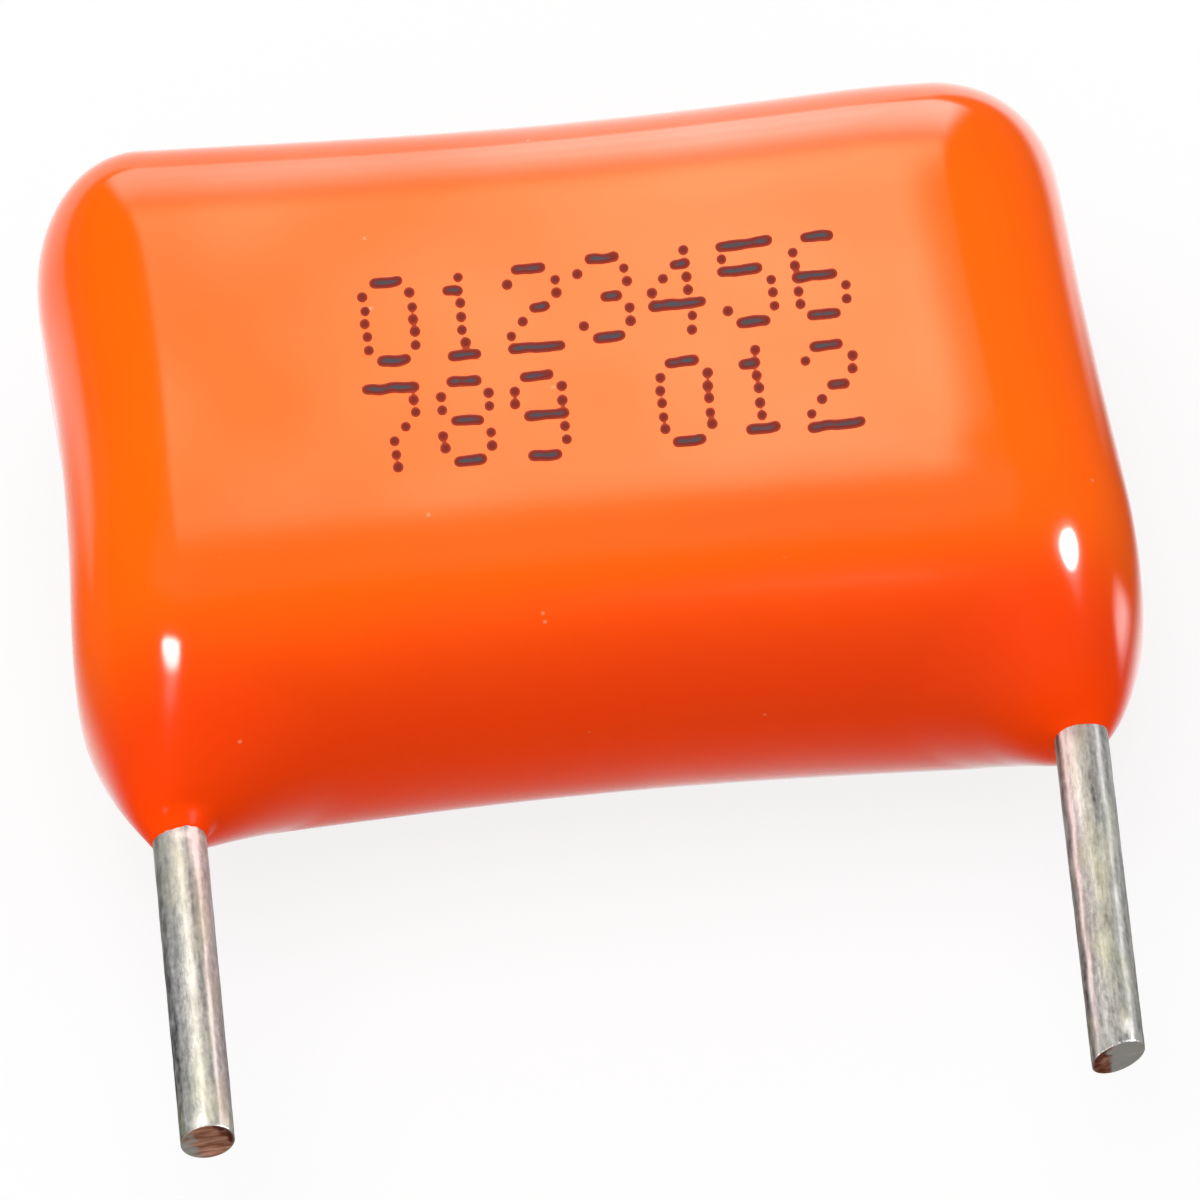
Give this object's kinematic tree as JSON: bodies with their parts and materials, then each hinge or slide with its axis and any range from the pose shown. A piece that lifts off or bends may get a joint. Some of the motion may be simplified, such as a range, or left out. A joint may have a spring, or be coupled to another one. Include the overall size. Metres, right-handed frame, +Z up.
{
  "type": "film capacitor",
  "caption": "Pillow-shaped film capacitor: a flattened roll of metallised film in a dipped orange epoxy coat, with straight round wire leads along its foot, cut short.",
  "frame": {"origin": "midway between the two leads in X, midway between the crown of the coat and the tip of the longer lead in Y, on the surface the part lies on", "axes": "+Z up out of the printed face; -Y the way the leads point; +X from the left lead to the right lead, seen from the printed face with the leads towards the viewer"},
  "size_m": [0.0119, 0.0127, 0.005],
  "materials": {
    "coat_epoxy": "glossy dipped epoxy, orange",
    "metallised_film": "silvery metallised polyester film",
    "sprayed_zinc": "rough grey sprayed zinc",
    "tinned_wire": "dull hot-dipped tin over copper wire"
  },
  "bodies": {
    "root": {"coating": "coat_epoxy", "film_winding": "metallised_film", "left_end_spray": "sprayed_zinc", "right_end_spray": "sprayed_zinc", "left_lead": "tinned_wire", "right_lead": "tinned_wire"}
  },
  "joints": []
}
